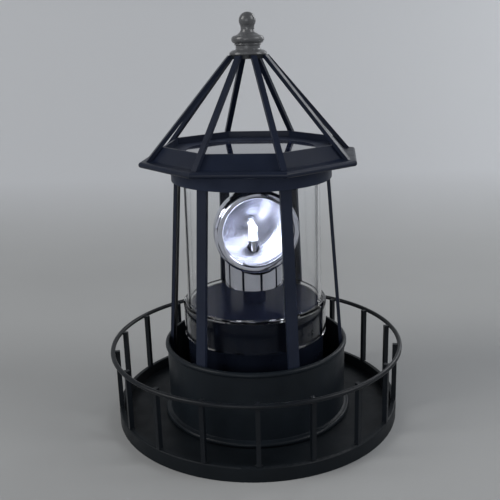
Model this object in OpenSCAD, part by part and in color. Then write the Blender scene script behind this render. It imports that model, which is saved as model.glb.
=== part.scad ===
// Solar garden lighthouse lamp with a turning spot head.
// Origin: centre of the footprint on the ground, +Z up, the front flat of the roof faces -Y.
// All sizes in millimetres.

/* [Tray] */
// Outer radius of the tray that the gallery stands on
tray_r = 80; // [78:0.5:90]
// Height of the tray's rim above the ground
tray_h = 8.3; // [7:0.1:12]
// Thickness of the tray's rim
tray_wall = 2.8; // [2.6:0.1:4]
// Thickness of the tray's floor
tray_floor = 1.4; // [1:0.1:2]
// Height of the tray floor's underside above the ground
tray_recess = 0.8; // [0.6:0.1:1.2]
// Radius of the round-over on the tray's rim
tray_round = 1; // [0.5:0.1:1.2]

/* [Gallery railing] */
// Radius of the hand rail's centre line beyond the tray's rim
rail_out = 1.2; // [1:0.1:3]
// Radius of the hand rail's round bar
rail_bar_r = 1.25; // [1:0.05:1.6]
// Height of the hand rail's centre line
rail_z = 41.8; // [30:0.2:50]
// Number of balusters
baluster_count = 18; // [18:1:18]
// Width of a baluster along the rail
baluster_w = 2.3; // [1.5:0.1:3.5]
// Depth of a baluster across the rail
baluster_d = 2.6; // [1.5:0.1:2.6]
// Height of the baluster tops above the hand rail's centre line
baluster_over = 0.4; // [0:0.1:1.2]
// Turn of the whole gallery against the lantern, in degrees
gallery_turn = 6.5; // [-20:0.5:20]

/* [Base drum] */
// Outer radius of the base drum's wall
drum_r = 50.6; // [49:0.1:56]
// Thickness of the base drum's wall
drum_wall = 1.1; // [0.9:0.1:1.4]
// Height of the rolled rim's centre
drum_rim_z = 42.7; // [36:0.1:46]
// Radius of the rolled rim
drum_rim_bead = 1.45; // [1:0.05:2]
// Radius of the bead round the drum's foot
drum_foot_bead = 1.4; // [1:0.05:2]
// How far the foot bead's centre stands out from the drum's wall
drum_foot_out = 1.4; // [0.8:0.1:3]

/* [Lamp housing] */
// Outer radius of the lamp housing
housing_r = 38.5; // [37:0.1:39.5]
// Thickness of the housing's wall
housing_wall = 1.5; // [1.2:0.1:2]
// Height of the housing's top rim
housing_top = 65.9; // [63.5:0.1:72]
// Depth of the deck below the housing's rim
deck_recess = 0.2; // [0.1:0.1:3]
// Thickness of the deck
deck_t = 2; // [1.6:0.1:3]
// Outer radius of the bearing neck on the deck
neck_r = 6.5; // [6:0.1:9]
// Height of the bearing neck above the deck
neck_h = 9.9; // [6:0.1:10]

/* [Clear cover] */
// Outer radius of the clear cover at its top
cover_top_r = 36.6; // [35:0.1:37]
// How far the cover's foot stands in from the housing's wall
cover_inset = 0.7; // [0.3:0.1:1.5]
// Thickness of the clear cover
cover_wall = 1.3; // [1:0.1:1.6]
// Length of the skirt that slips over the housing, below the housing's rim
skirt_drop = 16.5; // [10:0.5:22]
// Thickness of the ledge that sits on the housing's rim
skirt_ledge = 1.8; // [1.2:0.1:3]

/* [Cage posts] */
// Number of posts
post_count = 6; // [6:1:6]
// Width of a post along the circle
post_w = 6; // [4:0.1:8]
// Thickness of a post
post_t = 1.8; // [1.2:0.1:2.4]
// How far the posts reach down inside the drum, below its rim
post_depth = 24; // [10:0.5:30]

/* [Roof] */
// Outer radius of the collar under the roof
collar_r = 43.2; // [42.4:0.1:44]
// Thickness of the collar's skirt
collar_wall = 0.9; // [0.8:0.1:1.2]
// Height of the collar's lower edge
collar_z = 136.3; // [130:0.1:140]
// Height of the roof brim's underside
brim_z = 145.3; // [143:0.1:150]
// Corner radius of the octagonal roof opening
opening_r = 46.4; // [45.8:0.1:48]
// Height of the roof opening's edge
opening_z = 155.3; // [153:0.1:158]
// Corner radius at the centre of the brim's rounded lip
lip_r = 58.9; // [57:0.1:64]
// Radius of the brim's rounded lip
lip_bead = 1.5; // [1.2:0.1:2]
// Slope of the roof, in degrees
roof_slope = 48.4; // [45:0.2:52]
// Wall thickness of the brim
brim_wall = 1.6; // [1.2:0.1:1.8]
// Width of a roof bar
bar_w = 2.9; // [2:0.1:4]
// Thickness of a roof bar
bar_t = 2; // [1.4:0.1:2.4]
// Radius of the hub at the top of the roof
hub_r = 9.6; // [8.5:0.1:11]
// Thickness of the hub
hub_h = 1.8; // [1.4:0.1:5]
// Height of the hub's top face
hub_top = 199.8; // [195:0.2:205]

/* [Solar panel] */
// Radius of the solar panel
panel_r = 34.5; // [30:0.1:36]
// Thickness of the solar panel
panel_t = 2.2; // [1.6:0.1:3]
// Depth of the panel's face below the edge of the roof opening
panel_recess = 3.7; // [3:0.1:4]

/* [Finial] */
// Radius of the ball
ball_r = 4.35; // [3.5:0.05:5]
// Height of the ball's centre above the hub
ball_z = 17; // [16:0.1:20]
// Radius of the neck under the ball
finial_neck_r = 3.5; // [2.5:0.05:3.6]
// Radius of the disc
disc_r = 8.5; // [7.4:0.1:9]
// Height of the disc's middle above the hub
disc_z = 7.8; // [7.4:0.1:8.2]
// Thickness of the disc's rounded edge
disc_t = 4; // [3:0.1:4.2]
// Radius of the foot's waist
waist_r = 6.3; // [5.4:0.1:6.4]
// Radius of the foot flange
flange_r = 9.8; // [8.5:0.1:11]
// Thickness of the foot flange
flange_t = 2.4; // [1.5:0.1:2.5]

/* [Turning head] */
// Turn of the head away from the front at rest, in degrees
head_turn = 16.5; // [-180:0.2:180]
// Height of the head's level axis
head_z = 108.5; // [106:0.1:112]
// Outer radius of the head
head_r = 23; // [21:0.1:24]
// Distance of the head's front edge from the turning axis
head_front = 15; // [14:0.1:17]
// Length of the head's straight side behind its front edge
head_side = 6.5; // [5:0.1:14]
// Depth of the rounded back behind the straight side
head_dome = 23.5; // [21.5:0.1:24.5]
// Radius of the rounded front edge
bezel_round = 2.4; // [1.6:0.1:2.8]
// Wall thickness of the head and its stem
head_wall = 1.2; // [0.8:0.1:1.5]
// Outer radius of the stem
stem_r = 16.1; // [14:0.1:17]
// Running gap between the bearing neck and the stem
stem_gap = 0.7; // [0.4:0.1:1.5]
// Inner radius of the reflector at its mouth
mouth_r = 18.4; // [17:0.1:19.5]
// Depth of the reflector's mouth behind the head's front edge
mouth_recess = 1.5; // [1:0.1:2.5]
// Distance of the reflector's deepest point behind the turning axis
bowl_reach = 11; // [9:0.1:11.5]
// Wall thickness of the reflector
reflector_t = 0.9; // [0.7:0.05:1.1]

/* [Drive] */
// Outer radius of the hollow drive tube
tube_r = 4.5; // [4.2:0.05:5]
// Inner radius of the hollow drive tube
tube_bore_r = 3.2; // [3:0.05:3.3]
// Running clearance between moving and fixed round parts
run_gap = 0.05; // [0.02:0.01:0.09]
// Gear module
gear_module = 0.8; // [0.75:0.01:0.85]
// Teeth of the gear on the drive tube
tube_teeth = 36; // [36:1:36]
// Teeth of the idler's small gear
idler_small_teeth = 12; // [12:1:12]
// Teeth of the idler's large gear
idler_large_teeth = 32; // [32:1:32]
// Teeth of the motor pinion
pinion_teeth = 12; // [12:1:12]
// Play between meshing teeth
backlash = 0.24; // [0.16:0.02:0.4]
// Radius of the idler's pin
pin_r = 1.5; // [1:0.05:1.8]
// Height of the gear plate's top face
plate_top = 46.5; // [42:0.1:48]
// Thickness of the gear plate
plate_t = 2.5; // [2:0.1:4]
// Radius of the motor's can
motor_r = 10; // [8:0.1:11]
// Length of the motor's can
motor_h = 20; // [14:0.5:21]
// Radius of the motor's shaft
shaft_r = 1; // [0.75:0.05:1.2]

/* [Light source] */
// Outer radius of the fixed post that holds the lamp
led_post_r = 2.6; // [2.2:0.05:2.7]
// Inner radius of the fixed post
led_post_bore_r = 1.6; // [1.2:0.05:1.7]
// Radius of the lamp's dome
led_r = 2.4; // [2:0.05:2.6]
// Height of the lamp from its seat to the centre of its dome
led_h = 6.5; // [5:0.1:8]

/* [Power] */
// Radius of the rechargeable cell
cell_r = 7.2; // [5:0.05:7.4]
// Length of the rechargeable cell
cell_l = 50.5; // [44:0.1:51]
// Distance of the cell's centre line in front of the middle
cell_y = 13; // [11:0.5:14]
// Wall of the battery compartment
bay_wall = 1.4; // [1:0.1:1.8]
// Length of the circuit board
board_l = 46; // [36:0.5:50]
// Width of the circuit board
board_w = 18; // [14:0.5:20]
// Distance of the circuit board's middle behind the middle
board_y = 13; // [11:0.5:15]
// Height of the circuit board's underside
board_z = 9.4; // [9:0.1:11]
// Travel of the switch
switch_travel = 3; // [2:0.5:4]
// Radius of a lead
lead_r = 0.6; // [0.5:0.05:0.65]

/* [Fixings] */
// Radius of a screw's shank
screw_r = 1.1; // [0.9:0.05:1.3]
// Radius of a screw's head
screw_head_r = 2.1; // [1.8:0.05:2.4]
// Clearance round a seated part
fit_gap = 0.1; // [0.05:0.01:0.15]

/* [Hidden] */
$fn = 96;
hair = 0.02;
over = 1;
sides = 8;
corner_turn = 180 / sides;
flat_share = cos(corner_turn);

// Tray and base
floor_z = tray_recess + tray_floor;
tray_hole_r = drum_r - 9;
base_r = drum_r - drum_wall - 0.6;
base_t = 1.6;
base_top = floor_z + base_t;
base_low = tray_recess + 0.1;
drum_bore_r = drum_r - drum_wall;

// Housing, deck and cover
housing_bore_r = housing_r - housing_wall;
deck_top = housing_top - deck_recess;
ledge_w = 1.2;
neck_top = deck_top + neck_h;
shelf_z = brim_z + 2.7;
cover_top = shelf_z - hair;
cover_low_r = housing_r - cover_inset;
skirt_inner_r = housing_r + 0.3;
skirt_outer_r = skirt_inner_r + cover_wall;

// Collar and brim
panel_top = opening_z - panel_recess;
panel_low = panel_top - panel_t;
plug_r = opening_r - 0.2;
collar_bore_r = collar_r - collar_wall;
cover_seat_r = cover_top_r + 0.6;

// Posts, from the collar down into the drum
post_top_face = sqrt(pow(collar_bore_r - 0.04, 2) - pow(post_w / 2, 2));
post_low_face = sqrt(pow(drum_bore_r - 0.04, 2) - pow(post_w / 2, 2));
post_bend_z = drum_rim_z - 1;
post_lean = (post_low_face - post_top_face) / (collar_z - post_bend_z);
post_top_z = brim_z - hair;
post_foot_z = drum_rim_z - post_depth;

// Roof slope line through the outer edge of the opening
edge_r = opening_r + 1.2;
lip_z = brim_z + lip_bead;
slope_run = 1 / tan(roof_slope);
flare_z = lip_z + lip_bead + 0.8;
flare_r = edge_r + (opening_z - flare_z) * slope_run;

// Head and drive
stem_low = neck_top + stem_gap;
cap_top = head_z - head_r + head_wall;
mouth_d = head_front - mouth_recess;
focus = pow(mouth_r, 2) / (4 * (mouth_d + bowl_reach));
head_back = head_side - head_front;
can_front = head_front - bezel_round;
crest_r = head_r - bezel_round;
post_hole_r = tube_bore_r + 0.2;
led_seat = head_z - led_h - 1.2;
tube_low = plate_top + 3.9;
tube_top = cap_top;
tube_gear_z = tube_low + 0.8;
tube_gear_h = 4;
idler_low = plate_top + 0.4;
idler_large_h = 3;
idler_small_h = 6.2;
idler_bore_r = pin_r + run_gap;
stage1 = gear_module * (tube_teeth + idler_small_teeth) / 2;
stage2 = gear_module * (idler_large_teeth + pinion_teeth) / 2;
idler_at = 90;
pinion_at = -15;
idler_xy = [stage1 * cos(idler_at), stage1 * sin(idler_at)];
motor_xy = idler_xy + [stage2 * cos(pinion_at), stage2 * sin(pinion_at)];
pinion_h = 3.4;

// Gear phases that bring the teeth into mesh at rest
idler_small_phase = idler_at + 180 + 180 / idler_small_teeth;
idler_large_phase = pinion_at;
pinion_phase = pinion_at + 180 + 180 / pinion_teeth;

// Base plate details
lead_room = 0.5;
tab_w = 2 * screw_head_r + 2.4;
tab_y = -cell_y + (2 * cell_r + 3) / 2 + 3.4;
sink = 1.25;
cell_z = base_low + 1.4 + 0.4 + cell_r;
bay_l = cell_l + 5;
bay_w = 2 * cell_r + 1;
bay_top = cell_z + cell_r + 0.5;
door_l = bay_l + 2;
door_w = bay_w + 2;
door_t = 1.4;
switch_x = 8;
switch_y = board_y + 2;
switch_l = 9;
switch_w = 4.4;
switch_h = 3.4;
knob_l = 3;
knob_w = 2.4;
knob_gap = 0.4;
knob_tip = tray_recess - 0.4;
foot_ring_r = housing_bore_r - 3.6;
boss_r = 2.6;
boss_h = 9;
rib_w = 3;
housing_screws = [30, 150, 270];
board_t = 1.6;
board_post_x = board_l / 2 - 3;
board_post_r = 2.2;
motor_screw_r = motor_r * 0.7;
shaft_depth = 7;

// Screws, and the hole the solar lead comes in through
screw_head_h = 1.2;
housing_screw_l = 7;
door_screw_l = 2;
motor_screw_l = 5;
motor_screw_depth = 4;
lead_hole_y = 2.9;
lead_hole_z = 12.3;
lead_hole_turn = 19;
lead_hole_l = 9;

// What the board carries: chip, coil and capacitor
chip_x = -4;
chip_l = 5;
chip_w = 4;
chip_h = 1.4;
coil_x = 8;
coil_r = 2.5;
coil_h = 5;
capacitor_x = -15;
capacitor_r = 3;
capacitor_h = 4;
board_row = 4;

// Spring and flat contact at the cell's ends
cell_tip_r = 2.6;
cell_tip_l = 1.2;
contact_w = 10;
contact_t = 0.4;
spring_r = 4.5;
contact_tip_r = 2.4;
contact_foot_r = 4;
contact_gap = 0.05;

// The solar lead runs along the inner face of the left post
lead_run = [
    [-32, 0, 148.7],
    [-38, 0, 148.7],
    [-39, 0, 147.6],
    [-39, 0, 143],
    [-39.4, 0, 138],
    [-41.9, 0, 105],
    [-44.1, 0, 76],
    [-46.1, 0, 50],
    [-46.6, 0, 42],
    [-46.4, 0, 30],
    [-45, 0.6, 16],
    [-41.5, 2, 12.5],
    [-36, 4, 12.2],
    [-30, 6.5, 12.4],
    [-24, 8.5, 11.8],
    [-20, 9, 11.75]
];
led_run = [
    [0, 0, 100.6],
    [0, 0, 70],
    [0, 0, 42],
    [-2, 3, 34],
    [-6, 8, 22],
    [-8, 9, 11.2]
];
motor_run = [
    [17, 9, 23.8],
    [17, 9, 18],
    [16, 10, 11.2]
];
cell_run = [
    [-26, -13, 19.7],
    [-30, -9, 19.7],
    [-30.8, -4, 19],
    [-29, 2, 15.5],
    [-21, 7, 11.75],
    [-17, 8, 11.75]
];

// ---------- helpers ----------

// Ring between two radii, standing on z
module ring(outer, inner, z, h) {
    translate([0, 0, z])
        difference() {
            cylinder(r = outer, h = h);
            translate([0, 0, -over])
                cylinder(r = inner, h = h + 2 * over);
        }
}

// Octagonal prism whose flats face the axes
module octagon(corner, z, h) {
    translate([0, 0, z])
        rotate(corner_turn)
            cylinder(r = corner, h = h, $fn = sides);
}

// Point on the involute of a base circle, t in degrees of roll
function involute(rb, t) = [
    rb * (cos(t) + t * PI / 180 * sin(t)),
    rb * (sin(t) - t * PI / 180 * cos(t))
];
function turned(p, a) = [p[0] * cos(a) - p[1] * sin(a), p[0] * sin(a) + p[1] * cos(a)];
function mirrored(p) = [p[0], -p[1]];
// Roll angle at which the involute reaches radius r
function roll_at(rb, r) = r <= rb ? 0 : sqrt(pow(r / rb, 2) - 1) * 180 / PI;
// Polar angle of the involute at radius r
function polar_at(rb, r) = roll_at(rb, r) - acos(rb / max(r, rb));

// One tooth's outline, centred on the X axis
function tooth(teeth) =
    let (
        rp = gear_module * teeth / 2,
        rb = rp * cos(25),
        ra = rp + gear_module * 0.85,
        rr = rp - gear_module * 1.15,
        half = 90 / teeth - backlash / 4 / rp * 180 / PI,
        back = half + polar_at(rb, rp),
        flank = [for (k = [0 : 4]) turned(mirrored(involute(rb, roll_at(rb, ra) * k / 4)), back)],
        foot = turned([rr, 0], back)
    )
    concat(
        [mirrored(foot)],
        [for (p = flank) mirrored(p)],
        [for (k = [4 : -1 : 0]) flank[k]],
        [foot]
    );

// Spur gear with one tooth centred on the X axis
module spur(teeth, h) {
    rr = gear_module * (teeth / 2 - 1.15);
    linear_extrude(height = h)
        union() {
            circle(r = rr + hair);
            for (i = [0 : teeth - 1])
                rotate(i * 360 / teeth)
                    polygon(concat([[0, 0]], tooth(teeth)));
        }
}

// Tube swept along a route, eight sided
function unit(v) = v / norm(v);
function spans(route) = [for (i = [0 : len(route) - 2]) max(1, round(norm(route[i + 1] - route[i]) / 3.4))];
function rings_of(route) = concat(
    [for (i = [0 : len(route) - 2]) each [for (k = [0 : spans(route)[i] - 1])
        route[i] + (route[i + 1] - route[i]) * k / spans(route)[i]]],
    [route[len(route) - 1]]
);
function heading(pts, i) = unit(pts[min(i + 1, len(pts) - 1)] - pts[max(i - 1, 0)]);
module lead(route, r) {
    pts = rings_of(route);
    n = len(pts);
    skin = [for (i = [0 : n - 1])
        let (
            dir = heading(pts, i),
            side = unit(cross(dir, [0.3, 1, 0.1])),
            up = cross(side, dir)
        )
        each [for (k = [0 : 7]) pts[i] + r * (side * cos(k * 45) + up * sin(k * 45))]];
    walls = [for (i = [0 : n - 2]) each [for (k = [0 : 7]) each [
        [i * 8 + k, i * 8 + (k + 1) % 8, (i + 1) * 8 + (k + 1) % 8],
        [i * 8 + k, (i + 1) * 8 + (k + 1) % 8, (i + 1) * 8 + k]]]];
    caps = [[for (k = [7 : -1 : 0]) k], [for (k = [0 : 7]) (n - 1) * 8 + k]];
    polyhedron(points = skin, faces = concat(walls, caps), convexity = 6);
}

// A pan-head screw pointing along +Z, its head's outer face at the origin
module screw(shank) {
    cylinder(r = screw_head_r, h = screw_head_h);
    cylinder(r = screw_r, h = screw_head_h + shank);
}

// ---------- base ----------

module tray() {
    color("#23262c")
        rotate_extrude()
            difference() {
                union() {
                    translate([tray_hole_r, tray_recess])
                        square([tray_r - tray_wall / 2 - tray_hole_r, tray_floor]);
                    translate([tray_r - tray_wall, 0])
                        square([tray_wall - tray_round, tray_h]);
                    translate([tray_r - tray_wall, 0])
                        square([tray_wall, tray_h - tray_round]);
                    translate([tray_r - tray_round, tray_h - tray_round])
                        circle(r = tray_round, $fn = 32);
                }
                translate([-over, -over])
                    square([tray_hole_r + over, tray_h]);
            }
}

module railing_ring() {
    color("#171b22")
        rotate_extrude()
            translate([tray_r + rail_out, rail_z])
                circle(r = rail_bar_r, $fn = 32);
}

// The outer face stops just short of the hand rail's inner side
module baluster(i) {
    face = tray_r + rail_out - rail_bar_r - 0.05;
    top = rail_z + baluster_over;
    color("#1b1f26")
        rotate(gallery_turn - 90 + (i - 1) * 360 / baluster_count)
            translate([face - baluster_d, -baluster_w / 2, tray_h])
                cube([baluster_d, baluster_w, top - tray_h]);
}

module base_drum() {
    color("#1e222b")
        rotate_extrude()
            difference() {
                union() {
                    translate([drum_bore_r, floor_z])
                        square([drum_wall, drum_rim_z - floor_z]);
                    translate([drum_r - drum_wall / 3, drum_rim_z])
                        circle(r = drum_rim_bead, $fn = 40);
                    translate([drum_r + drum_foot_out, floor_z + drum_foot_bead])
                        circle(r = drum_foot_bead, $fn = 40);
                    polygon([
                        [drum_r - drum_wall / 2, floor_z],
                        [drum_r + drum_foot_out, floor_z],
                        [drum_r + drum_foot_out, floor_z + 2 * drum_foot_bead - 0.1],
                        [drum_r + 0.3, floor_z + 2 * drum_foot_bead + 0.3],
                        [drum_r - drum_wall / 2, floor_z + 2 * drum_foot_bead + 0.9]
                    ]);
                }
                translate([-over, -over])
                    square([drum_bore_r + over, 2 * drum_rim_z]);
            }
}

// Bottom plate with the battery bay, screw holes, switch slot and board pillars
module base_plate() {
    bay_outer = [bay_l + 2 * bay_wall, bay_w + 2 * bay_wall];
    pillar_low = base_top - hair;
    color("#202329")
        difference() {
            union() {
                translate([0, 0, floor_z])
                    cylinder(r = base_r, h = base_t);
                translate([0, 0, base_low])
                    cylinder(r = tray_hole_r - 0.3, h = base_top - base_low);
                translate([-bay_outer[0] / 2, -cell_y - bay_outer[1] / 2, base_top - over])
                    cube([bay_outer[0], bay_outer[1], bay_top + bay_wall - base_top + over]);
                for (s = [-1, 1])
                    translate([s * board_post_x, board_y - 4, pillar_low])
                        cylinder(r = board_post_r, h = board_z - pillar_low);
            }
            translate([-bay_l / 2, -cell_y - bay_w / 2, base_low - over])
                cube([bay_l, bay_w, bay_top - base_low + over]);
            translate([-door_l / 2 - fit_gap, -cell_y - door_w / 2 - fit_gap, base_low - over])
                cube([door_l + 2 * fit_gap, door_w + 2 * fit_gap, door_t + fit_gap + over]);
            translate([switch_x - knob_l / 2 - knob_gap, switch_y - knob_w / 2 - knob_gap, base_low - over])
                cube([knob_l + switch_travel + 2 * knob_gap, knob_w + 2 * knob_gap, base_top + 2 * over]);
            for (a = housing_screws)
                rotate(a)
                    translate([foot_ring_r, 0, base_low - over]) {
                        cylinder(r = screw_r + fit_gap, h = base_top + 2 * over);
                        cylinder(r = screw_head_r + fit_gap, h = over + 1.3);
                    }
            translate([0, tab_y, base_low - over]) {
                cylinder(r = screw_r + fit_gap, h = base_top + 2 * over);
                cylinder(r = tab_w / 2 + fit_gap, h = over + door_t + fit_gap);
            }
            translate([-tab_w / 2 - fit_gap, -cell_y + door_w / 2 - over, base_low - over])
                cube([tab_w + 2 * fit_gap, tab_y + cell_y - door_w / 2 + over, door_t + fit_gap + over]);
        }
}

module battery_door() {
    color("#202329")
        difference() {
            union() {
                translate([-door_l / 2, -cell_y - door_w / 2, base_low])
                    cube([door_l, door_w, door_t]);
                translate([0, tab_y, base_low])
                    cylinder(r = tab_w / 2, h = door_t);
                translate([-tab_w / 2, -cell_y + door_w / 2 - hair, base_low])
                    cube([tab_w, tab_y + cell_y - door_w / 2 + hair, door_t]);
            }
            translate([0, tab_y, base_low - over]) {
                cylinder(r = screw_r + fit_gap, h = door_t + 2 * over);
                cylinder(r = screw_head_r + fit_gap, h = over + 0.8);
            }
        }
}

module lamp_housing() {
    color("#191d28")
        difference() {
            union() {
                ring(housing_r, housing_bore_r, base_top, housing_top - base_top);
                // Ledge under the deck
                ring(housing_bore_r + hair, housing_bore_r - ledge_w, deck_top - deck_t - 2, 2);
                // Ledge under the gear plate
                ring(housing_bore_r + hair, housing_bore_r - ledge_w, plate_top - plate_t - 2, 2);
                for (a = housing_screws)
                    rotate(a)
                        translate([foot_ring_r, -rib_w / 2, base_top + 1])
                            cube([housing_bore_r - foot_ring_r + 0.3, rib_w, boss_h - 2]);
                for (a = housing_screws)
                    rotate(a)
                        translate([foot_ring_r, 0, base_top])
                            cylinder(r = boss_r, h = boss_h);
            }
            for (a = housing_screws)
                rotate(a)
                    translate([foot_ring_r, 0, base_top - over])
                        cylinder(r = screw_r + fit_gap, h = housing_screw_l + over);
            // Where the solar lead comes in
            translate([-housing_r, lead_hole_y, lead_hole_z])
                rotate([0, 90, lead_hole_turn])
                    translate([0, 0, 0.5 - lead_hole_l / 2])
                        cylinder(r = lead_r + lead_room, h = lead_hole_l);
        }
}

module deck() {
    neck_low = deck_top - deck_t - 4;
    color("#141824")
        difference() {
            union() {
                translate([0, 0, deck_top - deck_t])
                    cylinder(r = housing_bore_r - fit_gap, h = deck_t);
                translate([0, 0, neck_low])
                    cylinder(r = neck_r, h = neck_top - neck_low);
            }
            translate([0, 0, neck_low - over])
                cylinder(r = tube_r + run_gap, h = neck_top - neck_low + 2 * over);
        }
}

// ---------- cage and roof ----------

module clear_cover() {
    ledge_top = housing_top + skirt_ledge;
    color([0.85, 0.9, 0.95, 0.35])
        difference() {
            union() {
                translate([0, 0, ledge_top - hair])
                    cylinder(r1 = cover_low_r, r2 = cover_top_r, h = cover_top - ledge_top + hair);
                translate([0, 0, housing_top - skirt_drop])
                    cylinder(r = skirt_outer_r, h = skirt_drop + skirt_ledge - 0.8);
                translate([0, 0, ledge_top - 0.8 - hair])
                    cylinder(r1 = skirt_outer_r, r2 = skirt_outer_r - 0.8, h = 0.8 + hair);
            }
            translate([0, 0, housing_top - over])
                cylinder(r1 = cover_low_r - cover_wall, r2 = cover_top_r - cover_wall,
                         h = cover_top - housing_top + 2 * over);
            translate([0, 0, housing_top - skirt_drop - over])
                cylinder(r = skirt_inner_r, h = skirt_drop + over);
        }
}

// Flat strip that leans out from the collar and stands against the drum's wall
module post(i) {
    top_face = post_top_face - (post_top_z - collar_z) * post_lean;
    color("#262c3f")
        rotate((i - 1) * 360 / post_count)
            translate([0, post_w / 2, 0])
                rotate([90, 0, 0])
                    linear_extrude(height = post_w)
                        polygon([
                            [top_face, post_top_z],
                            [post_low_face, post_bend_z],
                            [post_low_face, post_foot_z],
                            [post_low_face - post_t, post_foot_z],
                            [post_low_face - post_t, post_bend_z],
                            [top_face - post_t, post_top_z]
                        ]);
}

// Round skirt and octagonal plug that carry the solar panel
module collar() {
    color("#222839")
        difference() {
            union() {
                translate([0, 0, collar_z])
                    cylinder(r = collar_r, h = brim_z - collar_z);
                octagon(plug_r, brim_z - hair, panel_top - brim_z + hair);
            }
            translate([0, 0, collar_z - over])
                cylinder(r = collar_bore_r, h = brim_z - collar_z + over);
            translate([0, 0, brim_z - over])
                cylinder(r = cover_seat_r, h = shelf_z - brim_z + over);
            translate([0, 0, panel_low])
                cylinder(r = panel_r + fit_gap, h = panel_t + over);
            // Way for the solar lead, from under the panel to the left post
            translate([lead_run[2][0], 0, brim_z - over])
                cylinder(r = lead_r + lead_room, h = shelf_z - brim_z + 2 * over);
            translate([lead_run[2][0] - lead_r - lead_room, -lead_r - lead_room, shelf_z - 1.2])
                cube([lead_run[0][0] - lead_run[2][0] + 4, 2 * (lead_r + lead_room),
                      panel_low - shelf_z + 1.2 + hair]);
        }
}

// The brim's section at an octagon corner
module brim_section() {
    difference() {
        union() {
            polygon([
                [opening_r, brim_z],
                [lip_r, brim_z],
                [lip_r, lip_z + lip_bead],
                [flare_r + 1.8, flare_z - 0.72],
                [flare_r + 0.7, flare_z - 0.45],
                [flare_r, flare_z],
                [edge_r, opening_z],
                [opening_r, opening_z]
            ]);
            translate([lip_r, lip_z])
                circle(r = lip_bead, $fn = 24);
        }
        polygon([
            [opening_r + brim_wall, brim_z - over],
            [opening_r + brim_wall, opening_z - brim_wall - 2],
            [flare_r - 0.6, flare_z - brim_wall],
            [lip_r - brim_wall, lip_z],
            [lip_r - brim_wall, brim_z - over]
        ]);
    }
}

module roof_brim() {
    color("#1b2131")
        rotate(corner_turn)
            rotate_extrude($fn = sides)
                brim_section();
}

// Bar from the hub to the brim's flare, trimmed to what it lies against
module roof_bar(i) {
    top_r = edge_r - (hub_top - opening_z) * slope_run;
    foot = 8.2 / sin(roof_slope) + bar_t;
    rise = (hub_top - opening_z) / sin(roof_slope);
    color("#1e2432")
        difference() {
            rotate(corner_turn + (i - 1) * 360 / sides)
                translate([top_r, 0, hub_top])
                    rotate([0, roof_slope, 0])
                        translate([-over - bar_t, -bar_w / 2, hair])
                            cube([rise + foot + over, bar_w, bar_t]);
            translate([0, 0, hub_top - hub_h - over])
                cylinder(r = hub_r + hair, h = hub_h + 5 * over);
            translate([0, 0, hub_top])
                cylinder(r = 2 * hub_r, h = 5 * over);
            brim_core();
        }
}

// The brim's outer shape as a solid, to trim the bars
module brim_core() {
    rotate(corner_turn)
        rotate_extrude($fn = sides)
            polygon([
                [0, brim_z - 3],
                [lip_r, brim_z - 3],
                [lip_r, lip_z + lip_bead + hair],
                [flare_r + 1.8, flare_z - 0.72 + hair],
                [flare_r + 0.7, flare_z - 0.45 + hair],
                [flare_r, flare_z + hair],
                [edge_r, opening_z + hair],
                [0, opening_z + hair]
            ]);
}

module roof_hub() {
    color("#1a1e28")
        difference() {
            translate([0, 0, hub_top - hub_h])
                cylinder(r = hub_r, h = hub_h);
            translate([0, 0, hub_top - hub_h - over])
                cylinder(r = 2.5, h = hub_h + 2 * over);
        }
}

module finial() {
    z0 = hub_top;
    flange_top = z0 + flange_t;
    disc_mid = z0 + disc_z;
    half = disc_t / 2;
    color("#55585a")
        rotate_extrude()
            intersection() {
                union() {
                    translate([0, z0 + ball_z])
                        circle(r = ball_r, $fn = 64);
                    polygon([
                        [0, z0 - hub_h + 0.5],
                        [2.4, z0 - hub_h + 0.5],
                        [2.4, z0],
                        [flange_r - 0.5, z0],
                        [flange_r, z0 + 0.5],
                        [flange_r - 0.2, z0 + flange_t * 0.6],
                        [flange_r - 1.6, flange_top],
                        [waist_r + 0.4, flange_top + 0.3],
                        [waist_r, flange_top + 0.9],
                        [waist_r, disc_mid - half - 1.1],
                        [waist_r + 0.7, disc_mid - half - 0.6],
                        [waist_r + 0.6, disc_mid - half],
                        [disc_r - half, disc_mid - half],
                        [disc_r - half, disc_mid + half],
                        [disc_r - half - 0.7, disc_mid + half + 0.25],
                        [finial_neck_r + 1.5, disc_mid + half + 0.75],
                        [finial_neck_r + 0.6, disc_mid + half + 1.5],
                        [finial_neck_r, disc_mid + half + 2.8],
                        [finial_neck_r, z0 + ball_z - ball_r + 1],
                        [finial_neck_r + 0.15, z0 + ball_z - ball_r + 1.9],
                        [0, z0 + ball_z]
                    ]);
                    translate([disc_r - half, disc_mid])
                        circle(r = half, $fn = 32);
                }
                square([2 * flange_r, 2 * hub_top]);
            }
}

module solar_panel() {
    color("#0b1020")
        translate([0, 0, panel_low])
            cylinder(r = panel_r, h = panel_t);
}

// ---------- turning head ----------

// Puts a shape drawn round +Z on the head's level axis, facing the front
module on_head_axis() {
    translate([0, 0, head_z])
        rotate([90, 0, head_turn])
            children();
}

// Outline of the head's can, drawn as radius against distance in front of the axis
function dome_points(r, shoulder, depth) =
    [for (a = [0 : 10 : 90]) [r * cos(a), -shoulder - depth * sin(a)]];

module head_can(r, front, shoulder, depth) {
    rotate_extrude()
        polygon(concat([[0, front], [r, front]], dome_points(r, shoulder, depth)));
}

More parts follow.
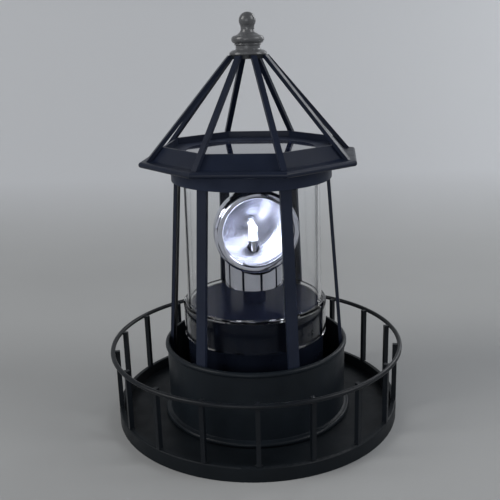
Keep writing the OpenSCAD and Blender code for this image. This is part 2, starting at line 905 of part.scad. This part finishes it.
module spot_head() {
    inner_stem_r = stem_r - head_wall;
    lip_d = head_front - 1;
    color("#c8cad2")
        difference() {
            union() {
                // Stem, its side walls rising to the can
                translate([0, 0, stem_low])
                    cylinder(r = stem_r, h = head_z - stem_low - head_r * 0.62);
                on_head_axis()
                    head_can(head_r, can_front - hair, head_back, head_dome);
            }
            // Inside of the can, open to the front
            on_head_axis()
                head_can(head_r - head_wall, head_front + over, head_back, head_dome - head_wall);
            // Room for the bezel in front of the can
            on_head_axis()
                translate([0, 0, can_front - hair])
                    cylinder(r = head_r + hair, h = stem_r);
            // Inside of the stem, below its cap
            translate([0, 0, stem_low - over])
                cylinder(r = inner_stem_r, h = head_z - head_r - 1.2 - stem_low + over);
            // Seat on the drive tube, and the way through for the fixed post
            translate([0, 0, stem_low - over])
                cylinder(r = tube_r + hair, h = head_z - stem_low);
        }
}

// Half of the reflector's section, inner curve then outer curve
function bowl(r0, r1, f, n) =
    [for (k = [0 : n]) let (r = r0 + (r1 - r0) * k / n) [r, r * r / (4 * f) - bowl_reach]];
function bowl_back(r0, r1, f, t, n) =
    [for (k = [n : -1 : 0])
        let (
            r = r0 + (r1 - r0) * k / n,
            tilt = atan(r / (2 * f))
        )
        [r + t * sin(tilt), r * r / (4 * f) - bowl_reach - t * cos(tilt)]];

module reflector() {
    rim_r = head_r - head_wall - fit_gap;
    color("#dcdee8")
        difference() {
            on_head_axis()
                rotate_extrude()
                    union() {
                        polygon(concat(bowl(0, mouth_r, focus, 16),
                                       bowl_back(0, mouth_r, focus, reflector_t, 16)));
                        // Bezel from the mouth over a round crest to the can's side
                        polygon(concat(
                            [[mouth_r - 0.02, mouth_d - 0.6], [mouth_r - 0.02, mouth_d]],
                            [for (t = [15 : 15 : 90])
                                [crest_r - (crest_r - mouth_r) * cos(t),
                                 mouth_d + (head_front - mouth_d) * sin(t)]],
                            [for (t = [10 : 10 : 90])
                                [crest_r + bezel_round * sin(t), can_front + bezel_round * cos(t)]],
                            [[rim_r, can_front], [rim_r, can_front - 3],
                             [rim_r - 0.8, can_front - 3], [rim_r - 0.8, mouth_d - 0.6]]
                        ));
                    }
            // Round way through the lower wall for the fixed post
            translate([0, 0, head_z - head_r])
                cylinder(r = post_hole_r, h = head_r);
        }
}

module led() {
    color("#f4f6ff")
        union() {
            translate([0, 0, led_seat])
                cylinder(r = led_r + 0.4, h = 1);
            translate([0, 0, led_seat + 1 - hair])
                cylinder(r = led_r, h = led_h - 1 + hair);
            translate([0, 0, led_seat + led_h])
                intersection() {
                    sphere(r = led_r, $fn = 48);
                    translate([-led_r, -led_r, -hair])
                        cube(2 * led_r + hair);
                }
        }
}

// Fixed hollow post through the drive tube
module led_post() {
    collar_top = tube_low - 0.1;
    color("#b9bcc2")
        difference() {
            union() {
                translate([0, 0, plate_top])
                    cylinder(r = led_post_r, h = led_seat - plate_top);
                translate([0, 0, plate_top])
                    cylinder(r = tube_r - 0.1, h = collar_top - plate_top);
            }
            translate([0, 0, plate_top - over])
                cylinder(r = led_post_bore_r, h = led_seat - plate_top + 2 * over);
        }
}

// ---------- drive ----------

module drive_tube() {
    color("#e6e3d8")
        rotate(head_turn)
            difference() {
                union() {
                    translate([0, 0, tube_low])
                        cylinder(r = tube_r, h = tube_top - tube_low);
                    translate([0, 0, tube_gear_z])
                        spur_on(tube_teeth, tube_gear_h, -head_turn + idler_at);
                }
                translate([0, 0, tube_low - over])
                    cylinder(r = tube_bore_r, h = tube_top - tube_low + 2 * over);
            }
}

// Gear with one tooth pointing at the given angle
module spur_on(teeth, h, at) {
    rotate(at)
        spur(teeth, h);
}

module idler_gear() {
    color("#e9e6da")
        translate([idler_xy[0], idler_xy[1], idler_low])
            difference() {
                union() {
                    spur_on(idler_large_teeth, idler_large_h, idler_large_phase);
                    translate([0, 0, idler_large_h - hair])
                        spur_on(idler_small_teeth, idler_small_h, idler_small_phase);
                }
                translate([0, 0, -over])
                    cylinder(r = idler_bore_r, h = idler_large_h + idler_small_h + 2 * over);
            }
}

module motor_pinion() {
    shaft_low = plate_top - plate_t - 6;
    color("#d8c98e")
        translate([motor_xy[0], motor_xy[1], 0])
            union() {
                translate([0, 0, idler_low - 0.1])
                    spur_on(pinion_teeth, pinion_h, pinion_phase);
                translate([0, 0, shaft_low])
                    cylinder(r = shaft_r, h = idler_low + pinion_h + 1 - shaft_low);
            }
}

module motor() {
    top = plate_top - plate_t;
    color("#a9adb3")
        translate([motor_xy[0], motor_xy[1], 0])
            difference() {
                union() {
                    translate([0, 0, top - motor_h])
                        cylinder(r = motor_r, h = motor_h);
                    translate([0, 0, top - motor_h - 1.6])
                        cylinder(r = 3, h = 1.6 + hair);
                }
                translate([0, 0, top - shaft_depth])
                    cylinder(r = shaft_r + run_gap, h = shaft_depth + over);
                for (a = [0, 180])
                    rotate(a)
                        translate([motor_screw_r, 0, top - motor_screw_depth])
                            cylinder(r = screw_r + fit_gap, h = motor_screw_depth + over);
            }
}

// Plate that holds the motor, the idler's pin and the fixed post
module gear_plate() {
    color("#34373d")
        difference() {
            union() {
                translate([0, 0, plate_top - plate_t])
                    cylinder(r = housing_bore_r - fit_gap, h = plate_t);
                translate([idler_xy[0], idler_xy[1], plate_top - hair]) {
                    cylinder(r = pin_r, h = idler_large_h + idler_small_h + 1);
                    cylinder(r = pin_r + 0.8, h = 0.3 + hair);
                }
            }
            translate([0, 0, plate_top - plate_t - over])
                cylinder(r = led_post_bore_r, h = plate_t + 2 * over);
            translate([motor_xy[0], motor_xy[1], plate_top - plate_t - over]) {
                cylinder(r = 2.4, h = plate_t + 2 * over);
                for (a = [0, 180])
                    rotate(a)
                        translate([motor_screw_r, 0, 0]) {
                            cylinder(r = screw_r + fit_gap, h = plate_t + 2 * over);
                            translate([0, 0, over + plate_t - sink])
                                cylinder(r = screw_head_r + fit_gap, h = sink + over);
                        }
            }
        }
}

// ---------- power ----------

module circuit_board() {
    color("#2d6a3c")
        union() {
            translate([-board_l / 2, board_y - board_w / 2, board_z])
                cube([board_l, board_w, board_t]);
            translate([chip_x, board_y - chip_w / 2, board_z + board_t - hair])
                cube([chip_l, chip_w, chip_h]);
            translate([coil_x, board_y + board_row, board_z + board_t - hair])
                cylinder(r = coil_r, h = coil_h);
            translate([capacitor_x, board_y + board_row, board_z + board_t - hair])
                cylinder(r = capacitor_r, h = capacitor_h);
            // Body of the slide switch under the board
            translate([switch_x + switch_travel / 2 - switch_l / 2, switch_y - switch_w / 2,
                       board_z - switch_h])
                cube([switch_l, switch_w, switch_h + hair]);
        }
}

module switch_knob() {
    top = board_z - switch_h - fit_gap;
    color("#d0d2d4")
        translate([switch_x - knob_l / 2, switch_y - knob_w / 2, knob_tip])
            cube([knob_l, knob_w, top - knob_tip]);
}

module battery() {
    body_l = cell_l - cell_tip_l;
    color("#3f8f5a")
        translate([-cell_l / 2, -cell_y, cell_z])
            rotate([0, 90, 0])
                union() {
                    cylinder(r = cell_r, h = body_l);
                    translate([0, 0, body_l - hair])
                        cylinder(r = cell_tip_r, h = cell_tip_l + hair);
                }
}

// Spring end and flat end
module battery_contacts() {
    cone_l = (bay_l - cell_l) / 2 - fit_gap - contact_t + hair - contact_gap;
    color("#b8bcc0") {
        translate([-bay_l / 2 + fit_gap, -cell_y - contact_w / 2, cell_z - contact_w / 2])
            cube([contact_t, contact_w, contact_w]);
        translate([-bay_l / 2 + fit_gap + contact_t - hair, -cell_y, cell_z])
            rotate([0, 90, 0])
                cylinder(r1 = spring_r, r2 = contact_tip_r, h = cone_l);
        translate([bay_l / 2 - fit_gap - contact_t, -cell_y - contact_w / 2, cell_z - contact_w / 2])
            cube([contact_t, contact_w, contact_w]);
        translate([cell_l / 2 + contact_gap, -cell_y, cell_z])
            rotate([0, 90, 0])
                cylinder(r1 = contact_tip_r, r2 = contact_foot_r, h = cone_l);
    }
}

module wiring() {
    color("#15171c") {
        lead(lead_run, lead_r);
        lead(led_run, lead_r);
        lead(motor_run, lead_r);
        lead(cell_run, lead_r);
    }
}

module screws() {
    color("#8d9095") {
        for (a = housing_screws)
            rotate(a)
                translate([foot_ring_r, 0, base_low])
                    screw(housing_screw_l);
        translate([0, tab_y, base_low - 0.4])
            screw(door_screw_l);
        translate([motor_xy[0], motor_xy[1], plate_top - sink + screw_head_h])
            for (a = [0, 180])
                rotate(a)
                    translate([motor_screw_r, 0, 0])
                        rotate([180, 0, 0])
                            screw(motor_screw_l);
    }
}

tray();
railing_ring();
for (i = [1 : baluster_count])
    baluster(i);
base_drum();
base_plate();
lamp_housing();
deck();
clear_cover();
for (i = [1 : post_count])
    post(i);
collar();
roof_brim();
for (i = [1 : sides])
    roof_bar(i);
roof_hub();
finial();
solar_panel();
spot_head();
reflector();
led();
led_post();
drive_tube();
idler_gear();
motor_pinion();
motor();
gear_plate();
circuit_board();
switch_knob();
battery();
battery_contacts();
battery_door();
wiring();
screws();
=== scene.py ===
"""Looks, light and camera for the solar garden lighthouse lamp."""
import math

import bpy
import bmesh
from mathutils import Matrix, Vector, noise


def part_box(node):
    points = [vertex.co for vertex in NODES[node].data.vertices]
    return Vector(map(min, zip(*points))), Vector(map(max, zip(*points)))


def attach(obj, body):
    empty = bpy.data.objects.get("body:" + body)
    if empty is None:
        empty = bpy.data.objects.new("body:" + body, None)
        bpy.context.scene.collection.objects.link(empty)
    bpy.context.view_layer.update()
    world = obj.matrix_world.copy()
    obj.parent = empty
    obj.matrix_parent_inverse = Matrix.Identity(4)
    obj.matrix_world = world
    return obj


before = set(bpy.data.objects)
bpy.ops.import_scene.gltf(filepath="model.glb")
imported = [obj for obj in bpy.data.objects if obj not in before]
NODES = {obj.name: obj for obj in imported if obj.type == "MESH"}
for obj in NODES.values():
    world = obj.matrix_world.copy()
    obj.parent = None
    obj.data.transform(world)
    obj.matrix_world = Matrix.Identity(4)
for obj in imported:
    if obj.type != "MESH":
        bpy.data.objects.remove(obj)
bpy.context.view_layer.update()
scene = bpy.context.scene
MM = 0.001

# The photograph's camera, as fitted to the object
PHOTO_WIDTH = 500  # pixels
FOCAL_LENGTH = 733.5  # pixels
SENSOR_WIDTH = 36  # millimetres
CAMERA_AT = (0, -391.81, 208.57)  # millimetres, before the turn round the object
VIEW_TURN, PITCH, ROLL, YAW = (math.radians(a) for a in (6.6, 16.174, -1.646, -0.281))

# The lamp head at rest, in metres
HEAD_TURN = math.radians(16.5)
HEAD_CENTRE = (0, 0, 0.1085)
HEAD_AXIS = (math.sin(HEAD_TURN), -math.cos(HEAD_TURN), 0)
BOWL_MOUTH = 0.0184  # inner radius of the reflector's mouth
LAMP_GLOW = (0.1062, 0.1074)  # height over which the lamp's body turns from dim to bright

# The gallery's welds, in millimetres
GALLERY_TURN = 6.5  # degrees that the first baluster stands round from the front
BALUSTER_W = 2.3
RAIL_WELD_R, RAIL_WELD_SIZE = 79.8, 0.6
RIM_WELD_R, RIM_WELD_SIZE = 78.4, 0.5

LIGHT_TARGET = Vector((0, 0, 0.11))


def lin(r, g, b):
    """sRGB bytes to linear values."""
    return tuple((c / 255 / 12.92) if c <= 10 else ((c / 255 + 0.055) / 1.055) ** 2.4 for c in (r, g, b))


# ---------------------------------------------------------------- camera
def make_camera():
    """Camera at the photograph's viewing angle: 392 mm in front, 209 mm up, looking 16 degrees down."""
    right = Vector((math.cos(YAW), -math.sin(YAW), 0))
    ahead = Vector((math.sin(YAW) * math.cos(PITCH), math.cos(YAW) * math.cos(PITCH), -math.sin(PITCH)))
    up = Vector((math.sin(YAW) * math.sin(PITCH), math.cos(YAW) * math.sin(PITCH), math.cos(PITCH)))
    x_axis = right * math.cos(ROLL) + up * math.sin(ROLL)
    y_axis = up * math.cos(ROLL) - right * math.sin(ROLL)
    place = Matrix((x_axis, y_axis, -ahead)).transposed().to_4x4()
    place.translation = Vector(CAMERA_AT) * MM
    data = bpy.data.cameras.new("camera")
    data.sensor_width = SENSOR_WIDTH
    data.lens = FOCAL_LENGTH * SENSOR_WIDTH / PHOTO_WIDTH
    data.clip_start, data.clip_end = 0.01, 50
    cam = bpy.data.objects.new("camera", data)
    scene.collection.objects.link(cam)
    cam.matrix_world = Matrix.Rotation(VIEW_TURN, 4, "Z") @ place
    scene.camera = cam


# ---------------------------------------------------------------- materials
class Mat:
    """A node material with a Principled shader and a few shortcuts."""

    def __init__(self, name, rough=0.5, metal=0.0, spec=0.5, coat=0.0, coat_rough=0.05, ior=None):
        self.mat = bpy.data.materials.new(name)
        self.mat.use_nodes = True
        self.t = self.mat.node_tree
        self.t.nodes.clear()
        self.out = self.t.nodes.new("ShaderNodeOutputMaterial")
        self.p = self.t.nodes.new("ShaderNodeBsdfPrincipled")
        self.t.links.new(self.p.outputs[0], self.out.inputs[0])
        self.set("Roughness", rough)
        self.set("Metallic", metal)
        self.set("Specular IOR Level", spec)
        self.set("Coat Weight", coat)
        self.set("Coat Roughness", coat_rough)
        if ior:
            self.set("IOR", ior)
        self.coord = self.t.nodes.new("ShaderNodeTexCoord")

    def set(self, key, value):
        self.p.inputs[key].default_value = value

    def feed(self, value, socket):
        """Link another node's output to an input, or give the input a plain value."""
        if isinstance(value, bpy.types.NodeSocket):
            self.t.links.new(value, socket)
        else:
            socket.default_value = value

    def along(self, axis):
        """Object coordinate along X, Y or Z: axis 0, 1 or 2."""
        sep = self.t.nodes.new("ShaderNodeSeparateXYZ")
        self.t.links.new(self.coord.outputs["Object"], sep.inputs[0])
        return sep.outputs[axis]

    def noise(self, scale, detail=3.0, rough=0.55, stretch=None):
        n = self.t.nodes.new("ShaderNodeTexNoise")
        n.inputs["Scale"].default_value = scale
        n.inputs["Detail"].default_value = detail
        n.inputs["Roughness"].default_value = rough
        self.t.links.new(self.place(stretch), n.inputs["Vector"])
        return n.outputs["Fac"]

    def place(self, stretch=None):
        if stretch is None:
            return self.coord.outputs["Object"]
        m = self.t.nodes.new("ShaderNodeMapping")
        m.inputs["Scale"].default_value = stretch
        self.t.links.new(self.coord.outputs["Object"], m.inputs["Vector"])
        return m.outputs["Vector"]

    def ramp(self, fac, stops):
        r = self.t.nodes.new("ShaderNodeValToRGB")
        e = r.color_ramp.elements
        while len(e) < len(stops):
            e.new(0.5)
        for el, (pos, col) in zip(e, stops):
            el.position = pos
            el.color = (*col, 1)
        self.t.links.new(fac, r.inputs["Fac"])
        return r.outputs["Color"]

    def span(self, fac, lo, hi, from_lo=0.3, from_hi=0.7):
        m = self.t.nodes.new("ShaderNodeMapRange")
        m.inputs["From Min"].default_value = from_lo
        m.inputs["From Max"].default_value = from_hi
        m.inputs["To Min"].default_value = lo
        m.inputs["To Max"].default_value = hi
        self.t.links.new(fac, m.inputs["Value"])
        return m.outputs["Result"]

    def mix(self, fac, a, b):
        """Mix of two colours, each an output or a triple."""
        m = self.t.nodes.new("ShaderNodeMix")
        m.data_type = "RGBA"
        self.feed(fac, m.inputs[0])
        for key, colour in ((6, a), (7, b)):
            self.feed(colour if isinstance(colour, bpy.types.NodeSocket) else (*colour, 1), m.inputs[key])
        return m.outputs[2]

    def operate(self, kind, operation, *values):
        m = self.t.nodes.new(kind)
        m.operation = operation
        for value, socket in zip(values, m.inputs):
            self.feed(value, socket)
        return m.outputs

    def math(self, operation, *values):
        return self.operate("ShaderNodeMath", operation, *values)[0]

    def vector(self, operation, *values):
        return self.operate("ShaderNodeVectorMath", operation, *values)["Vector"]

    def length(self, vector):
        return self.operate("ShaderNodeVectorMath", "LENGTH", vector)["Value"]

    def color(self, socket):
        self.t.links.new(socket, self.p.inputs["Base Color"])

    def rough(self, socket):
        self.t.links.new(socket, self.p.inputs["Roughness"])

    def bump(self, height, strength, distance=0.0002, before=None):
        b = self.t.nodes.new("ShaderNodeBump")
        b.inputs["Strength"].default_value = strength
        b.inputs["Distance"].default_value = distance
        self.t.links.new(height, b.inputs["Height"])
        if before is not None:
            self.t.links.new(before, b.inputs["Normal"])
        self.t.links.new(b.outputs[0], self.p.inputs["Normal"])
        return b.outputs[0]


def paint(name, colour, rough, spec, peel=0.12):
    """Sprayed metal: fine orange peel, slight dusting in the hollows, cloudy gloss."""
    m = Mat(name, rough=rough, spec=spec)
    c = Vector(lin(*colour))
    cloud = m.noise(42, 4, 0.6)
    tone = m.ramp(cloud, [(0.3, tuple(c * 0.82)), (0.72, tuple(c * 1.18))])
    dust = m.span(m.noise(310, 5, 0.7), 0.0, 0.07, 0.55, 0.8)
    m.color(m.mix(dust, tone, tuple(c * 1.9 + Vector((0.012, 0.012, 0.012)))))
    m.rough(m.span(m.noise(120, 4, 0.6), rough * 0.82, rough * 1.2))
    first = m.bump(m.noise(240, 2, 0.5), peel, 0.00025)
    m.bump(m.noise(900, 2, 0.5), peel * 0.6, 0.00006, before=first)
    return m.mat


def gloss_plastic(name, colour, rough, spec=0.5, tint=(1, 1, 1)):
    """Moulded plastic with a polished face, faint flow marks and hair scratches."""
    m = Mat(name, rough=rough, spec=spec)
    m.set("Specular Tint", (*tint, 1))
    c = Vector(lin(*colour))
    m.color(m.ramp(m.noise(30, 3), [(0.3, tuple(c * 0.9)), (0.7, tuple(c * 1.12))]))
    m.rough(m.span(m.noise(70, 3, 0.5), rough * 0.8, rough * 1.3))
    m.bump(m.noise(55, 2, 0.4), 0.05, 0.0003)
    return m.mat


def matte_plastic(name, colour, rough=0.55, grain=700):
    """Moulded plastic with a fine spark-eroded grain."""
    m = Mat(name, rough=rough, spec=0.35)
    c = Vector(lin(*colour))
    m.color(m.ramp(m.noise(60, 4), [(0.3, tuple(c * 0.88)), (0.7, tuple(c * 1.1))]))
    m.rough(m.span(m.noise(200, 3), rough * 0.85, rough * 1.12))
    m.bump(m.noise(grain, 2), 0.18, 0.00008)
    return m.mat


def metal(name, colour, rough, brushed=None):
    """Bare or plated metal, smooth or brushed along one way."""
    m = Mat(name, rough=rough, metal=1.0)
    c = Vector(lin(*colour))
    m.color(m.ramp(m.noise(70, 3), [(0.3, tuple(c * 0.94)), (0.7, tuple(min(v * 1.05, 1) for v in c))]))
    m.rough(m.span(m.noise(260, 4, 0.6), rough * 0.7, rough * 1.4))
    if brushed:
        m.bump(m.noise(900, 2, 0.5, stretch=brushed), 0.12, 0.00003)
    else:
        m.bump(m.noise(130, 3), 0.03, 0.0002)
    return m.mat


def spun_bowl(name, colour, rough):
    """Mirror film in the lamp's bowl, drawn round its axis so that highlights smear into crescents."""
    m = Mat(name, rough=rough, metal=1.0)
    c = Vector(lin(*colour))
    m.color(m.ramp(m.noise(70, 3), [(0.3, tuple(c * 0.95)), (0.7, tuple(min(v * 1.04, 1) for v in c))]))
    away = m.vector("SUBTRACT", m.coord.outputs["Object"], HEAD_CENTRE)
    around = m.vector("CROSS_PRODUCT", away, HEAD_AXIS)
    bowl_then_ring = m.span(m.length(around), rough, 0.07, BOWL_MOUTH, BOWL_MOUTH + 0.0004)
    m.rough(m.math("MULTIPLY", m.span(m.noise(150, 3, 0.5), 0.9, 1.12), bowl_then_ring))
    to_world = m.t.nodes.new("ShaderNodeVectorTransform")
    to_world.vector_type, to_world.convert_from, to_world.convert_to = "VECTOR", "OBJECT", "WORLD"
    m.t.links.new(around, to_world.inputs[0])
    m.t.links.new(m.vector("NORMALIZE", to_world.outputs[0]), m.p.inputs["Tangent"])
    m.set("Anisotropic", 0.9)
    m.bump(m.noise(130, 3), 0.02, 0.0002)
    return m.mat


def clear_plastic(name):
    """Clear acrylic: a clean wall with a faint mist that shows at its edges."""
    m = Mat(name, rough=0.02, spec=0.5, ior=1.46)
    m.set("Specular Tint", (0.13, 0.14, 0.16, 1))
    m.set("Base Color", (0.985, 0.99, 0.995, 1))
    m.set("Transmission Weight", 1.0)
    m.rough(m.span(m.noise(90, 4, 0.6), 0.004, 0.03))
    m.bump(m.noise(26, 2, 0.4), 0.015, 0.0004)
    return m.mat


def solar_face(name):
    """Dark blue cell behind glass: fine silver fingers and two bus bars."""
    m = Mat(name, rough=0.07, spec=0.5, coat=1.0, coat_rough=0.02)

    def lines(axis, pitch, width):
        turns = m.math("MULTIPLY", m.along(axis), 1 / pitch)
        share = m.math("FRACT", m.math("ADD", turns, 100.5))
        away = m.math("ABSOLUTE", m.math("SUBTRACT", share, 0.5))
        return m.math("LESS_THAN", away, width / pitch / 2)

    fingers = lines(0, 0.0022, 0.00016)
    bars = lines(1, 0.0260, 0.0011)
    silver = m.math("MAXIMUM", m.math("MULTIPLY", fingers, 0.55), bars)
    cells = lines(0, 0.0230, 0.0006)
    crystal = m.ramp(m.noise(420, 2, 0.4), [(0.25, lin(14, 18, 40)), (0.75, lin(24, 32, 66))])
    face = m.mix(silver, crystal, lin(120, 126, 136))
    m.color(m.mix(cells, face, lin(8, 9, 14)))
    m.bump(m.noise(60, 2), 0.02, 0.0002)
    return m.mat


def lamp_lens(name):
    """The lamp's frosted dome, which gives the cool white light."""
    m = Mat(name, rough=0.25, spec=0.5)
    m.color(m.ramp(m.noise(500, 2), [(0.3, lin(235, 240, 250)), (0.7, lin(250, 252, 255))]))
    share = m.span(m.along(2), 0, 1, *LAMP_GLOW)
    glow = m.ramp(share, [(0.0, (0.03, 0.032, 0.036)), (1.0, (0.88, 0.92, 1.0))])
    m.t.links.new(glow, m.p.inputs["Emission Color"])
    m.set("Emission Strength", 42.0)
    m.bump(m.noise(300, 2), 0.1, 0.0001)
    return m.mat


def board(name):
    """Green circuit board with tracks under its lacquer."""
    m = Mat(name, rough=0.4, spec=0.5)
    tracks = m.noise(260, 0, 0.2, stretch=(1, 3, 1))
    m.color(m.ramp(tracks, [(0.49, lin(24, 82, 44)), (0.52, lin(40, 112, 60)), (0.6, lin(24, 82, 44))]))
    m.bump(tracks, 0.2, 0.0001)
    return m.mat


def make_materials():
    return {
        "tray": paint("tray_paint", (19, 23, 27), 0.42, 0.12),
        "rail": paint("rail_paint", (17, 21, 26), 0.36, 0.20),
        "drum": paint("drum_paint", (23, 28, 33), 0.36, 0.14),
        "roof": paint("roof_paint", (25, 31, 46), 0.36, 0.16),
        # painted light: the collar wears the roof's navy paint made paler, standing in for light that
        # reaches the shade under the brim
        "collar": paint("collar_paint_lit_under_brim", (44, 50, 66), 0.40, 0.06),
        "post": paint("post_paint", (29, 35, 50), 0.40, 0.18),
        "gloss": gloss_plastic("housing_gloss", (17, 21, 31), 0.3, 0.08, (0.7, 0.8, 1.0)),
        "deck": gloss_plastic("deck_gloss", (36, 42, 64), 0.14, 0.05, (0.7, 0.8, 1.0)),
        "clear": clear_plastic("clear_acrylic"),
        "finial": paint("finial_grey", (78, 79, 81), 0.28, 0.5, peel=0.08),
        "solar": solar_face("solar_glass"),
        "chrome": metal("mirror_chrome", (204, 206, 216), 0.05),
        "bowl": spun_bowl("reflector_chrome", (226, 228, 240), 0.22),
        "lamp": lamp_lens("lamp_dome"),
        "steel": metal("steel", (168, 170, 174), 0.3, brushed=(1, 1, 12)),
        "nylon": matte_plastic("gear_nylon", (222, 219, 204), 0.45, 500),
        "plate": matte_plastic("black_moulding", (32, 34, 38), 0.55),
        "board": board("circuit_green"),
        "cell": gloss_plastic("cell_wrap", (44, 132, 82), 0.3),
        "spring": metal("contact_steel", (176, 178, 182), 0.25),
        "lead": matte_plastic("lead_black", (24, 25, 28), 0.5, 900),
        "knob": matte_plastic("switch_grey", (170, 171, 174), 0.5),
    }


def material_key(node):
    """Name of the material that a CAD node wears."""
    table = {
        "tray": "tray", "railing_ring": "rail", "base_drum": "drum", "base_plate": "plate",
        "lamp_housing": "gloss", "deck": "deck", "clear_cover": "clear", "collar": "collar",
        "roof_brim": "roof", "roof_hub": "rail", "finial": "finial", "solar_panel": "solar",
        "spot_head": "chrome", "reflector": "bowl", "led": "lamp", "led_post": "chrome",
        "drive_tube": "nylon", "idler_gear": "nylon", "motor_pinion": "steel", "motor": "steel",
        "gear_plate": "plate", "circuit_board": "board", "switch_knob": "knob", "battery": "cell",
        "battery_contacts": "spring", "battery_door": "plate", "wiring": "lead", "screws": "steel",
    }
    if node.startswith("baluster_"):
        return "rail"
    if node.startswith("post_"):
        return "post"
    if node.startswith("roof_bar_"):
        return "roof"
    return table[node]


def edge_width(node):
    """Width in millimetres of the softened edges of a CAD node, or 0 where they stay sharp."""
    if node.startswith(("baluster_", "post_", "roof_bar_")):
        return 0.3
    return {"tray": 0.25, "base_drum": 0.2, "roof_brim": 0.35, "collar": 0.3, "lamp_housing": 0.3,
            "deck": 0.2, "roof_hub": 0.4, "solar_panel": 0.2}.get(node, 0)


def dress_nodes(mats):
    """Give every CAD node its material, and the visible ones a soft edge that catches the light."""
    for name, obj in NODES.items():
        obj.data.materials.clear()
        obj.data.materials.append(mats[material_key(name)])
        for poly in obj.data.polygons:
            poly.material_index = 0
        if edge_width(name):
            bevel = obj.modifiers.new("edge", "BEVEL")
            bevel.width = edge_width(name) * MM
            bevel.segments = 2
            bevel.limit_method = "ANGLE"
            bevel.angle_limit = math.radians(32)


def make_welds(mats):
    """Small weld beads that hold each baluster to the hand rail and to the tray's rim."""
    count = sum(name.startswith("baluster_") for name in NODES)
    rail_low, rail_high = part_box("railing_ring")
    rail_z = round((rail_low.z + rail_high.z) / 2 / MM, 1)
    rim_z = round(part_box("tray")[1].z / MM, 1)
    bm = bmesh.new()
    for i in range(count):
        a = math.radians(GALLERY_TURN - 90 + i * 360 / count)
        out = Vector((math.cos(a), math.sin(a), 0))
        side = Vector((-math.sin(a), math.cos(a), 0))
        for radius, z, size, long_way in (
            (RAIL_WELD_R, rail_z - 0.2, RAIL_WELD_SIZE, out),
            (RIM_WELD_R, rim_z + 0.1, RIM_WELD_SIZE, side),
        ):
            for way in (-1, 1):
                at = out * radius + side * BALUSTER_W / 2 * way + Vector((0, 0, z))
                for v in bmesh.ops.create_icosphere(bm, subdivisions=2, radius=1.0)["verts"]:
                    lumpy = 1 + 0.35 * noise.noise(v.co * 1.7 + at)
                    v.co = at + (v.co + long_way * 0.5 * v.co.dot(long_way)) * size * lumpy
    for f in bm.faces:
        f.smooth = True
    bm.transform(Matrix.Scale(MM, 4))
    me = bpy.data.meshes.new("weld_beads")
    bm.to_mesh(me)
    bm.free()
    obj = bpy.data.objects.new("weld_beads", me)
    scene.collection.objects.link(obj)
    me.materials.append(mats["rail"])
    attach(obj, "base")


# ---------------------------------------------------------------- stage and light
def make_stage():
    """A pale floor that sweeps up into a plain backdrop, whose colour is painted paler than the floor's
    as painted light.
    """
    m = Mat("floor_pale", rough=0.7, spec=0.2)
    floor_tone = m.ramp(m.noise(3, 3), [(0.3, lin(156, 157, 157)), (0.7, lin(164, 165, 165))])
    # painted light: the backdrop gets a paler colour than the floor, standing in for light where less of
    # it falls
    backdrop_painted_light = lin(186, 188, 191)
    m.color(m.mix(m.span(m.along(2), 0, 1, 0.0, 0.05), floor_tone, backdrop_painted_light))
    m.bump(m.noise(180, 3), 0.05, 0.0005)
    front, depth, radius, high, half_w, steps = -3.0, 0.76, 0.5, 2.2, 3.0, 12
    profile = [(front, 0.0), (depth - radius, 0.0)]
    for k in range(1, steps + 1):
        a = math.radians(90 * k / steps)
        profile.append((depth - radius + radius * math.sin(a), radius - radius * math.cos(a)))
    profile.append((depth, high))
    bm = bmesh.new()
    rows = [[bm.verts.new((x, y, z)) for x in (-half_w, half_w)] for y, z in profile]
    for near, far in zip(rows, rows[1:]):
        bm.faces.new((near[0], near[1], far[1], far[0])).smooth = True
    me = bpy.data.meshes.new("floor")
    bm.to_mesh(me)
    bm.free()
    floor = bpy.data.objects.new("floor", me)
    floor.location.z = -0.0001
    floor.rotation_euler.z = VIEW_TURN
    scene.collection.objects.link(floor)
    me.materials.append(m.mat)


def area(name, azimuth, elevation, distance, width, height, power, colour):
    """Area light seen from the object at that azimuth from the camera's side, in degrees."""
    a = math.radians(-90 + azimuth) + VIEW_TURN
    e = math.radians(elevation)
    way = Vector((math.cos(a) * math.cos(e), math.sin(a) * math.cos(e), math.sin(e)))
    data = bpy.data.lights.new(name, "AREA")
    data.shape = "RECTANGLE"
    data.size, data.size_y = width, height
    data.energy = power
    data.color = colour
    obj = bpy.data.objects.new(name, data)
    scene.collection.objects.link(obj)
    obj.location = LIGHT_TARGET + distance * way
    obj.rotation_euler = (-way).to_track_quat("-Z", "Y").to_euler()


def make_light():
    """A plain studio world, paler near the ground, and four soft area lights."""
    world = bpy.data.worlds.new("studio")
    scene.world = world
    world.use_nodes = True
    tree = world.node_tree
    tree.nodes.clear()
    out = tree.nodes.new("ShaderNodeOutputWorld")
    back = tree.nodes.new("ShaderNodeBackground")
    coord = tree.nodes.new("ShaderNodeTexCoord")
    sep = tree.nodes.new("ShaderNodeSeparateXYZ")
    ramp = tree.nodes.new("ShaderNodeValToRGB")
    low, high = ramp.color_ramp.elements
    low.position, low.color = 0.05, (*lin(196, 198, 202), 1)
    high.position, high.color = 0.75, (*lin(104, 106, 110), 1)
    tree.links.new(coord.outputs["Generated"], sep.inputs[0])
    tree.links.new(sep.outputs[2], ramp.inputs["Fac"])
    tree.links.new(ramp.outputs["Color"], back.inputs["Color"])
    back.inputs["Strength"].default_value = 0.9
    tree.links.new(back.outputs[0], out.inputs[0])
    area("lamp_left", -72, 34, 1.5, 0.7, 0.9, 11, (1.0, 0.99, 0.97))
    area("lamp_right", 74, 34, 1.5, 0.7, 0.9, 9, (0.97, 0.98, 1.0))
    area("lamp_front", -14, 9, 1.7, 0.6, 0.5, 4.5, (0.96, 0.98, 1.0))
    area("rim_right", 142, 24, 1.0, 0.5, 0.5, 3.2, (0.96, 0.98, 1.0))


scene.view_settings.view_transform = "Standard"
make_camera()
MATS = make_materials()
dress_nodes(MATS)
make_welds(MATS)
make_stage()
make_light()

bpy.context.view_layer.update()
